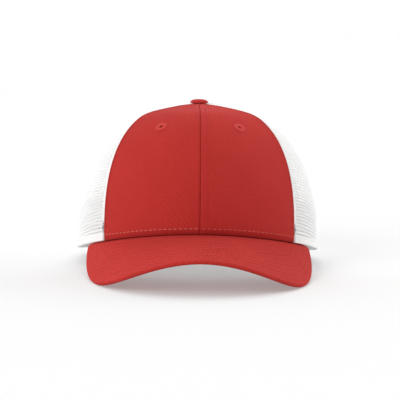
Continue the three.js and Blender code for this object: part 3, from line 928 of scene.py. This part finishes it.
EDGING_PROUD = (HEM_THICKNESS - MESH_THICKNESS) / 2 - MESH_SET_BACK
EDGING_LIFT = 0.1
EDGING_ROLL = 0.7
HEM_STITCH_SHARE = 0.76
HEM_GROOVE = (0.18, 0.45)
OPENING_STITCH_INSET = 4.6
OPENING_GROOVE = (0.18, 0.5)
NET_SEAM_HALF_WIDTH = 2.6
NET_SEAM_STITCH_SIDE = 1.7
NET_SEAM_FOLD = (0.3, 0.35)
NET_SEAM_GROOVE = (0.12, 0.4)


def hem(side, sign):
    azimuth = np.linspace(FRONT_SEAM + 0.15, 180 - OPENING_HALF_ANGLE, 150)[:, None]
    up = stops(HEM_HEIGHT + PIECE_GAP, 5, 0.5, 0.9)
    rise = rise_at_height(azimuth, rim_height(azimuth) + up)
    surface = crown_surface(azimuth, rise)
    up = distance_along(surface, axis=1)
    width = up[:, -1:]
    drop = rolled_edges(up, width, EDGING_ROLL) + groove(up - 0.72 * width, HEM_GROOVE)
    outer = crown_point(azimuth, rise, drop - EDGING_PROUD - EDGING_LIFT)
    inner_drop = rolled_edges(up, width, EDGING_ROLL * 0.7)
    inner = crown_point(azimuth, rise, HEM_THICKNESS - EDGING_PROUD - inner_drop)
    uvs = flat_map(distance_along(surface[:, 0]), up)
    obj = shell_object(f"sewn_hem_{side}", outer, inner, tape, uvs, sign, above_floor=True)
    settle(obj, "white_tape", f"hem_{side}")
    line = np.linspace(FRONT_SEAM + 1, 179 - OPENING_HALF_ANGLE, 200)
    rises = rise_at_height(line, rim_height(line) + HEM_HEIGHT * HEM_STITCH_SHARE)
    crown_stitches(f"hem_stitch_{side}", sign * line, rises, -EDGING_PROUD, white_thread,
                   "white_tape", EDGE_STITCH)


def opening_outline(bow, margin):
    azimuth = 180 - opening_half_angle(margin) * np.cos(np.radians(bow))
    return azimuth, (OPENING_HEIGHT + margin) * np.sin(np.radians(bow))


def opening_binding():
    widths = stops(BINDING_WIDTH, 5, 0.6, 1.0)
    share = np.linspace(-1, 1, 121)
    azimuth = np.empty((len(share), len(widths)))
    height = np.empty_like(azimuth)
    for row, margin in enumerate(widths):
        first = math.degrees(math.asin((HEM_HEIGHT + PIECE_GAP) / (OPENING_HEIGHT + margin)))
        bow = 90 + (first - 90) * np.abs(share)
        azimuth[:, row], height[:, row] = opening_outline(bow, margin)
    rise = rise_at_height(azimuth, height)
    drop = rolled_edges(widths, BINDING_WIDTH, EDGING_ROLL)
    drop = drop + groove(widths - OPENING_STITCH_INSET, OPENING_GROOVE)
    outer = crown_point(azimuth, rise, drop - EDGING_PROUD - EDGING_LIFT)
    inner = crown_point(azimuth, rise, HEM_THICKNESS - EDGING_PROUD)
    for points in (outer, inner):
        points[..., 0] *= np.where(share < 0, -1.0, 1.0)[:, None]
    uvs = flat_map(distance_along(outer[:, 3]), widths)
    obj = shell_object("sewn_opening_edge", outer, inner, tape, uvs, flip=True)
    settle(obj, "white_tape", "opening_binding")
    share = np.linspace(-1, 1, 240)
    line, height = opening_outline(90 + (8 - 90) * np.abs(share), OPENING_STITCH_INSET)
    crown_stitches("opening_edge_stitch", line * np.where(share < 0, -1, 1),
                   rise_at_height(line, height), -EDGING_PROUD, white_thread, "white_tape",
                   EDGE_STITCH)


def seam_strip(name, azimuth, sign, rises, side, depths, material, slot, shift=0.0,
               inner_material=None):
    """A strip of cloth along a seam, from distances to its sides and the depths of its faces."""
    rise = rises[:, None]
    around = azimuth + (side + shift) / azimuth_scale(azimuth, rise)
    outer, inner = (crown_point(around, rise, depth) for depth in depths)
    uvs = flat_map(distance_along(crown_surface(azimuth, rises)), side)
    obj = shell_object(name, outer, inner, material, uvs, sign, True, inner_material)
    settle(obj, slot)


def mesh_seam(name, azimuth, sign, low_height):
    """The sewn seam between two net panels: a folded strip with a stitch row on each side."""
    low = float(rise_at_height(azimuth, rim_height(azimuth) + low_height))
    high = float(rise_at_radius(azimuth, TIP_RADIUS + 1.0))
    side = stops(2 * NET_SEAM_HALF_WIDTH, 4, 0.6, 0.8) - NET_SEAM_HALF_WIDTH
    drop = (rolled_edges(side + NET_SEAM_HALF_WIDTH, 2 * NET_SEAM_HALF_WIDTH, 0.5)
            + groove(side, NET_SEAM_FOLD)
            + groove(np.abs(side) - NET_SEAM_STITCH_SIDE, NET_SEAM_GROOVE))
    seam_strip(name, azimuth, sign, np.linspace(low, high, 110), side,
               (drop - 0.12, MESH_SET_BACK + MESH_THICKNESS + 0.1), tape, "white_tape")
    rises = np.linspace(low + 0.5, high - 1, 180)
    for label, place in (("front", -NET_SEAM_STITCH_SIDE), ("back", NET_SEAM_STITCH_SIDE)):
        line = azimuth + place / azimuth_scale(azimuth, rises)
        crown_stitches(f"{name}_stitch_{label}", sign * line, rises, 0.0, white_thread,
                       "white_tape", NET_STITCH)


def seam_tape(name, azimuth, sign, low, top_gap, half_width, depth, thickness, material, slot,
              shift=0.0, inner_material=None, depth_beyond=None):
    """A flat tape along a seam, from a rise to a gap below the crown's tip, inside the cloth.
    Beyond the seam it may step to another depth."""
    high = float(rise_at_radius(azimuth, TIP_RADIUS + top_gap))
    side = np.linspace(-half_width, half_width, 13)
    if depth_beyond is not None:
        depth = depth + (depth_beyond - depth) * smooth_share(side + shift, 0.1, 1.3)
    middle = 0.12 * (1 - (side / half_width) ** 2)
    seam_strip(name, azimuth, sign, np.linspace(low, high, 90), side,
               (depth, depth + thickness + middle), material, slot, shift, inner_material)


# Sweatband and the visor's allowance, inside the rim

BAND_EDGE_ROLL = 0.6
BAND_FACE_ROLL = 0.9
BAND_PUFF = 0.35
BAND_STITCH_HEIGHT = 3.0
BAND_GROOVE = (0.25, 0.6)
ALLOWANCE_GAPS = (0.03, 0.22)


def share_over_visor(azimuth):
    return 1 - smooth_share(np.abs(azimuth), VISOR_ROOT_ANGLE - 8, VISOR_ROOT_ANGLE)


def sweatband():
    end = 180 - OPENING_HALF_ANGLE - STRAP_TUCK - 0.2
    azimuth = np.linspace(-end, end, 260)[:, None]
    up = stops(BAND_HEIGHT, 6, 2.0, 2.4)
    over_visor = share_over_visor(azimuth)
    low = rim_height(azimuth) + (1 - over_visor) * REST_FLATTENING * 2
    rise = rise_at_height(azimuth, low + up)
    outer_depth = PANEL_THICKNESS + PIECE_GAP
    inner_depth = outer_depth + BAND_THICKNESS
    puff = BAND_PUFF * np.sin(np.pi * np.clip(up / BAND_HEIGHT, 0, 1))
    puff = (puff - rolled_edges(up, BAND_HEIGHT, BAND_FACE_ROLL)
            - groove(up - BAND_STITCH_HEIGHT, BAND_GROOVE))
    outer = crown_point(azimuth, rise, outer_depth + rolled_edges(up, BAND_HEIGHT, BAND_EDGE_ROLL))
    inner = crown_point(azimuth, rise, inner_depth + puff - BAND_PUFF)
    for points in (outer, inner):
        points[..., 2] -= over_visor * VISOR_THICKNESS * (1 - smooth_share(up, 0, 7))
    uvs = flat_map(distance_along(outer[:, 0]), up)
    obj = shell_object("sewn_sweatband", outer, inner, band_cloth, uvs)
    settle(obj, "white_band", "sweatband")
    line = np.linspace(-end + 1, end - 1, 400)
    height = rim_height(line) + BAND_STITCH_HEIGHT - share_over_visor(line) * 1.6
    rises = rise_at_height(line, height)
    stitch_row("sweatband_stitch", crown_point(line, rises, inner_depth - 0.15),
               -crown_normal(line, rises), white_thread, "white_band", BAND_STITCH)


def visor_allowance():
    """The visor's cloth turned up inside the front panels, which closes the line above it. Its
    near-black red outer face is painted shadow in the gap between crown and visor.
    """
    end = VISOR_ROOT_ANGLE - 2
    azimuth = np.linspace(-end, end, 160)[:, None]
    up = np.linspace(-1.6, 6.0, 7)
    rise = rise_at_height(azimuth, rim_height(azimuth) + np.maximum(up, 0))
    outer, inner = (crown_point(azimuth, rise, PANEL_THICKNESS + gap) for gap in ALLOWANCE_GAPS)
    for points in (outer, inner):
        points[..., 2] += np.minimum(up, 0)
    uvs = flat_map(distance_along(outer[:, 0]), up)
    obj = shell_object("visor_allowance", outer, inner, shadow_red, uvs, inner_material=buckram)
    settle(obj, "red_twill")


# Snap strap: two straps that lap behind the opening, one with holes and one with studs

STRAP_DEPTH = PANEL_THICKNESS + PIECE_GAP
STRAP_MIDDLE = STRAP_ABOVE_RIM + STRAP_HEIGHT / 2
STRAP_MIDDLE_RISE = rise_at_height(180.0, STRAP_MIDDLE)
STRAP_CORNER = 7.5
STRAP_EDGE_ROLL = 0.35
STRAP_GROOVE = (0.14, 0.3)
STRAP_LAP_GAP = 0.06
STRAP_SHARP_ANGLE = 38
STUD_TURNS = 28
HOLE_RADIUS = STUD_RADIUS + 0.35


def strap_layer(name, start, end, depth_of):
    """One half of the strap, from where it is sewn in to its rounded end."""
    scale = float(azimuth_scale(180.0, STRAP_MIDDLE_RISE))
    to_end = stops(abs(end - start) * scale, 14, 1.2, STRAP_CORNER)
    azimuth = (end + to_end / scale * math.copysign(1, start - end))[:, None]
    corner = np.clip(1 - to_end / STRAP_CORNER, 0, 0.995)
    half_height = STRAP_HEIGHT / 2 - STRAP_CORNER * 0.9 * (1 - np.sqrt(1 - corner ** 2))
    across = stops(2.0, 6, 0.14, 0.25) - 1
    height = STRAP_MIDDLE + half_height[:, None] * across
    from_edge = np.minimum((1 - np.abs(across)) * half_height[:, None], to_end[:, None])
    fold = roll_over(from_edge, STRAP_EDGE_ROLL)
    depth = depth_of(azimuth)
    rise = rise_at_height(180.0, height)
    outer = crown_point(azimuth, rise, depth + fold + groove(from_edge - 1.7, STRAP_GROOVE))
    inner = crown_point(azimuth, rise, depth + STRAP_THICKNESS - fold)
    uvs = flat_map(to_end, height)
    return shell_object(name, outer, inner, strap_plastic, uvs, flip=start > end)


def stud(azimuth, depth):
    """Points and faces of a rounded stud that stands on a strap."""
    base = STRAP_DEPTH - depth - 0.2
    radius, height = np.array([
        (STUD_RADIUS * 0.86, base),
        (STUD_RADIUS * 0.86, -0.1),
        (STUD_RADIUS, 0.2),
        (STUD_RADIUS, 0.45),
        (STUD_RADIUS * 0.93, STUD_HEIGHT * 0.8),
        (STUD_RADIUS * 0.76, STUD_HEIGHT),
        (STUD_RADIUS * 0.4, STUD_HEIGHT),
    ]).T
    count = len(radius)
    spot = crown_point(azimuth, STRAP_MIDDLE_RISE, STRAP_DEPTH)
    direction = crown_normal(azimuth, STRAP_MIDDLE_RISE)
    ring = turned_points(spot, direction, turn_angles(STUD_TURNS), radius[None], height[None])
    faces = grid_faces(STUD_TURNS, count, round_columns=True).tolist()
    base_cap = [turn * count for turn in range(STUD_TURNS)][::-1]
    top_cap = [turn * count + count - 1 for turn in range(STUD_TURNS)]
    return to_world(ring.reshape(-1, 3)), faces + [base_cap, top_cap]


def snap_strap():
    sewn = 180 - OPENING_HALF_ANGLE - STRAP_TUCK
    lap_end = 180 + STRAP_LAP_HALF_ANGLE

    def outer_depth(azimuth):
        return np.full(azimuth.shape, STRAP_DEPTH)

    def inner_depth(azimuth):
        under = 1 - smooth_share(azimuth, lap_end, lap_end + 1.5)
        return STRAP_DEPTH + (STRAP_THICKNESS + STRAP_LAP_GAP) * under

    def stud_azimuth(index):
        return 180 + (index - (STUD_COUNT - 1) / 2) * STUD_PITCH_ANGLE

    outer = strap_layer("snap_strap_outer", sewn, lap_end, outer_depth)
    places = []
    for index in range(-1, STUD_COUNT):
        azimuth = stud_azimuth(index)
        places.append((crown_point(azimuth, STRAP_MIDDLE_RISE, STRAP_DEPTH),
                       crown_normal(azimuth, STRAP_MIDDLE_RISE)))
    cut_round_holes(outer, places, HOLE_RADIUS)
    inner = strap_layer("snap_strap_inner", 360 - sewn, 180 - STRAP_LAP_HALF_ANGLE, inner_depth)
    points, faces = [], []
    for index in range(STUD_COUNT + 2):
        azimuth = stud_azimuth(index)
        stud_points, stud_faces = stud(azimuth, float(inner_depth(azimuth)))
        offset = sum(len(part) for part in points)
        points.append(stud_points)
        faces += [[offset + corner for corner in face] for face in stud_faces]
    studs = mesh_object("snap_strap_studs", np.concatenate(points), faces, strap_plastic)
    for piece in (outer, inner, studs):
        piece.data.set_sharp_from_angle(angle=math.radians(STRAP_SHARP_ANGLE))
        settle(piece, "white_plastic", "back_strap")


# Visor

VISOR_COLUMNS = 161
VISOR_ROWS = 96
VISOR_EDGE_TURNS = np.array([68, 48, 28, 12, 0, -12, -28, -48, -68])
VISOR_EDGE_GROOVE = (0.12, 9.0)
VISOR_ROW_GROOVE = (0.05, 0.7)
VISOR_ROW_PITCH = 6.6
VISOR_STITCH_ROWS = 7
VISOR_UNEVENNESS = 0.12
VISOR_UNEVENNESS_SIZE = 38.0


def visor_span(across):
    return np.linalg.norm(visor_middle(across, 1) - visor_middle(across, 0), axis=-1)


def visor():
    across = (np.sin(np.linspace(-np.pi / 2, np.pi / 2, VISOR_COLUMNS)) * 0.35
              + np.linspace(-1, 1, VISOR_COLUMNS) * 0.65)
    out = np.concatenate([[0], np.linspace(0.015, 1, VISOR_ROWS)[:-1]])
    span = visor_span(across)[:, None]
    half = VISOR_THICKNESS / 2
    share = out * (1 - half / span)
    middle = visor_middle(across[:, None], share)
    near_root = np.clip(share / 0.03, 0, 1)[..., None]
    direction = visor_normal(across[:, None], share) * near_root
    direction = unit(direction + np.array([0, 0, 1]) * (1 - near_root))
    from_edge = (1 - share) * span
    grooves = sum(groove(from_edge - row * VISOR_ROW_PITCH, VISOR_ROW_GROOVE)
                  for row in range(1, VISOR_STITCH_ROWS + 1))
    uneven = VISOR_UNEVENNESS * soft_noise(middle, VISOR_UNEVENNESS_SIZE, 11)
    fade = smooth_share(share * span, 1.0, 6.0)
    top = middle + direction * (half - (grooves - uneven) * fade)[..., None]
    under = middle - direction * (half - grooves * fade)[..., None]
    dip = groove(VISOR_EDGE_TURNS, VISOR_EDGE_GROOVE)[:, None]
    edge = rounded_edge(across, VISOR_EDGE_TURNS) - visor_outward(across)[:, None] * dip
    ring = np.concatenate([top, edge, under[:, ::-1]], axis=1)
    count = ring.shape[1]
    last = (VISOR_COLUMNS - 1) * count
    faces = grid_faces(VISOR_COLUMNS, count, round_rows=True).tolist()
    faces += [list(range(count)), list(range(last, last + count))[::-1]]
    first_under = len(out) + list(VISOR_EDGE_TURNS).index(0) + 1
    slots = np.tile(np.arange(count) >= first_under, VISOR_COLUMNS - 1)
    slots = np.concatenate([slots, [0, 0]])
    uvs = np.stack([ring[..., 0], ring[..., 1] - ring[..., 2]], axis=-1).reshape(-1, 2)
    points = kept_above_floor(to_world(ring.reshape(-1, 3)))
    obj = mesh_object("sewn_visor", points, faces, visor_twill, uvs, slots, visor_under)
    settle(obj, "red_twill", "visor")


def visor_stitches():
    half = VISOR_THICKNESS / 2
    across = np.linspace(-1, 1, 1201)
    span = visor_span(across)
    for row in range(1, VISOR_STITCH_ROWS + 1):
        out = 1 - row * VISOR_ROW_PITCH / span
        keep = out * span > 2.5
        middle = visor_middle(across[keep], out[keep])
        normal = visor_normal(across[keep], out[keep])
        stitch_row(f"visor_stitch_{row}", middle + normal * (half - 0.04), normal, visor_thread,
                   "red_thread", VISOR_STITCH)
        stitch_row(f"visor_under_stitch_{row}", middle - normal * (half - 0.06), -normal,
                   visor_thread, "red_thread", VISOR_STITCH)


# Button: cloth gathered over a dome

BUTTON_TURNS = 96
BUTTON_PLEATS = 9
BUTTON_PLEAT_DEPTH = 0.14
BUTTON_SIDE_SHARE = 0.12


def button():
    angle = turn_angles(BUTTON_TURNS)
    up = np.concatenate([[0.0, 0.06], np.linspace(BUTTON_SIDE_SHARE, 1, 15)])
    bulge = np.clip((up - 0.1) / 0.9, 0, 1) * np.pi / 2
    radius = BUTTON_RADIUS * np.where(up < BUTTON_SIDE_SHARE, 0.86 + up, np.cos(bulge) ** 0.72)
    radius[-1] = 0
    dome = 0.16 + 0.84 * np.sin(bulge) ** 0.95
    height = BUTTON_HEIGHT * np.where(up < BUTTON_SIDE_SHARE, up * 1.4, dome)
    pleat = BUTTON_PLEAT_DEPTH * np.cos(angle * BUTTON_PLEATS)[:, None] * bell(height - 0.6, 1.3)
    radius = radius + pleat
    points = np.stack(np.broadcast_arrays(
        np.cos(angle)[:, None] * radius, np.sin(angle)[:, None] * radius, height), axis=-1)
    lean = np.array(Matrix.Rotation(math.atan(CROWN_LEAN), 3, "X"))
    points = points @ lean.T + np.array([0, 0, CROWN_HEIGHT + PIECE_GAP])
    faces = grid_faces(BUTTON_TURNS, len(up), round_columns=True).tolist()
    faces.append([turn * len(up) for turn in range(BUTTON_TURNS)][::-1])
    obj = mesh_object("covered_button", to_world(points.reshape(-1, 3)), faces, twill,
                      points[..., :2].reshape(-1, 2))
    joined = bmesh.new()
    joined.from_mesh(obj.data)
    bmesh.ops.remove_doubles(joined, verts=joined.verts, dist=1e-6)
    joined.to_mesh(obj.data)
    joined.free()
    settle(obj, "red_twill", "button")


# The pieces

for side_name, side_sign in SIDES:
    front_panel(side_name, side_sign)
    panel_stitches(side_name, side_sign)
    eyelet(side_name, side_sign)
    net_panel(f"net_side_{side_name}", FRONT_SEAM, BACK_SEAM, side_sign, f"mesh_side_{side_name}")
    net_panel(f"net_back_{side_name}", BACK_SEAM, 180, side_sign, f"mesh_back_{side_name}",
              opening=True)
    hem(side_name, side_sign)
    mesh_seam(f"net_seam_{side_name}", BACK_SEAM, side_sign, HEM_HEIGHT)
    seam_tape(f"front_seam_tape_{side_name}", FRONT_SEAM, side_sign, 6.0, 4, 3.6,
              PANEL_THICKNESS + 0.05, 0.2, tape, "white_tape", shift=0.6,
              depth_beyond=MESH_SET_BACK + NET_YARN_THICKNESS + 0.05)
    seam_tape(f"net_edge_{side_name}", FRONT_SEAM, side_sign, 3.0, 3, 1.1, MESH_SET_BACK - 0.04,
              NET_YARN_THICKNESS, tape, "white_tape", shift=1.22)
mesh_seam("net_seam_back", 180, 1, OPENING_HEIGHT + BINDING_WIDTH - 1)
opening_binding()
sweatband()
visor()
visor_stitches()
visor_allowance()
# The centre seam's tape shows through the seam in a near-black red: painted shadow along the seam
seam_tape("centre_seam_tape", 0.0, 1, 0.5, 1, 5.0, PANEL_THICKNESS + 0.02, 0.2, shadow_red,
          "red_twill", inner_material=tape)
button()
snap_strap()


# Camera at the photo's angle. Lengths are in millimetres in the hat's frame, angles in degrees.

CAMERA_DISTANCE = 1300
CAMERA_PIVOT = (0, 0, 50)
CAMERA_AIM = (1.5, 0, 37.9)
CAMERA_ELEVATION = 1.0
CAMERA_YAW = 0.95
CAMERA_ROLL = 0.65
FOCAL_PIXELS = 1748.5
IMAGE_PIXELS = 400
SENSOR = 36


def add_camera():
    data = bpy.data.cameras.new("camera")
    data.sensor_width = SENSOR
    data.lens = SENSOR * FOCAL_PIXELS / IMAGE_PIXELS
    data.clip_start = 0.05
    data.clip_end = 50
    camera = link_object("camera", data)
    yaw = math.radians(CAMERA_YAW)
    elevation = math.radians(CAMERA_ELEVATION)
    roll = math.radians(CAMERA_ROLL)
    back = Vector((-math.sin(yaw) * math.cos(elevation), -math.cos(yaw) * math.cos(elevation),
                   math.sin(elevation)))
    position = HAT_TO_WORLD @ ((Vector(CAMERA_PIVOT) + back * CAMERA_DISTANCE) * MM)
    backward = (position - HAT_TO_WORLD @ (Vector(CAMERA_AIM) * MM)).normalized()
    right = (HAT_TO_WORLD.to_3x3() @ Vector((0, 0, 1))).cross(backward).normalized()
    upward = backward.cross(right)
    rolled_right = right * math.cos(roll) + upward * math.sin(roll)
    rolled_up = upward * math.cos(roll) - right * math.sin(roll)
    matrix = Matrix((rolled_right, rolled_up, backward)).transposed().to_4x4()
    matrix.translation = position
    camera.matrix_world = matrix
    bpy.context.scene.camera = camera


# Studio: broad lights with soft-edged shadows, a pale floor, and a pale room that is dim above,
# with white walls low down all round

# name, direction towards the light, strength, spread in degrees
LIGHTS = (
    ("key", (-0.6, -0.65, 0.5), 1.25, 35),
    ("top", (0, 0.25, 1), 1.2, 75),
    ("back", (0, 1, 0.7), 0.85, 50),
    ("side_left", (-1, 0.35, 0.2), 0.8, 50),
    ("side_right", (1, 0.5, 0.2), 1.9, 50),
)
ROOM_LIGHT = 0.36
WALL_LIGHT = 1.08
WALL_TOP_START = 0.12
WALL_TOP_END = 0.35
FLOOR_GREY = 0.56
FLOOR_GLOW = 0.27
FLOOR_REACH = 30.0
FLOOR_DROP = 0.0002


def add_lights():
    for name, towards, strength, spread in LIGHTS:
        data = bpy.data.lights.new(name, "SUN")
        data.energy = strength
        data.angle = math.radians(spread)
        light = link_object(name, data)
        light.rotation_euler = Vector(towards).to_track_quat("Z", "Y").to_euler()
        light.location = Vector(towards)


def add_room():
    world = bpy.data.worlds.new("studio")
    world.use_nodes = True
    tree = world.node_tree
    place = add_node(tree, "ShaderNodeTexCoord")
    split = add_node(tree, "ShaderNodeSeparateXYZ", Vector=place.outputs["Generated"])
    wall = add_node(tree, "ShaderNodeMapRange", {"interpolation_type": "SMOOTHSTEP"},
                    Value=split.outputs["Z"], From_Min=WALL_TOP_START, From_Max=WALL_TOP_END,
                    To_Min=WALL_LIGHT, To_Max=ROOM_LIGHT)
    set_inputs(tree, tree.nodes["Background"], Color=(1, 1, 1, 1), Strength=wall.outputs["Result"])
    bpy.context.scene.world = world


def add_floor():
    material = node_material("pale floor", (FLOOR_GREY,) * 3, 0.9, specular=0.0,
                             Emission_Color=(1, 1, 1, 1), Emission_Strength=FLOOR_GLOW)[0]
    mesh = bpy.data.meshes.new("floor")
    ends = (-FLOOR_REACH, FLOOR_REACH)
    mesh.from_pydata([(x, y, 0) for x in ends for y in ends], [], [(0, 2, 3, 1)])
    mesh.materials.append(material)
    floor = link_object("floor", mesh)
    floor.location.z = -FLOOR_DROP


add_camera()
add_room()
add_floor()
add_lights()
view = bpy.context.scene.view_settings
view.view_transform = "Standard"
view.look = "None"
view.exposure = 0
view.gamma = 1
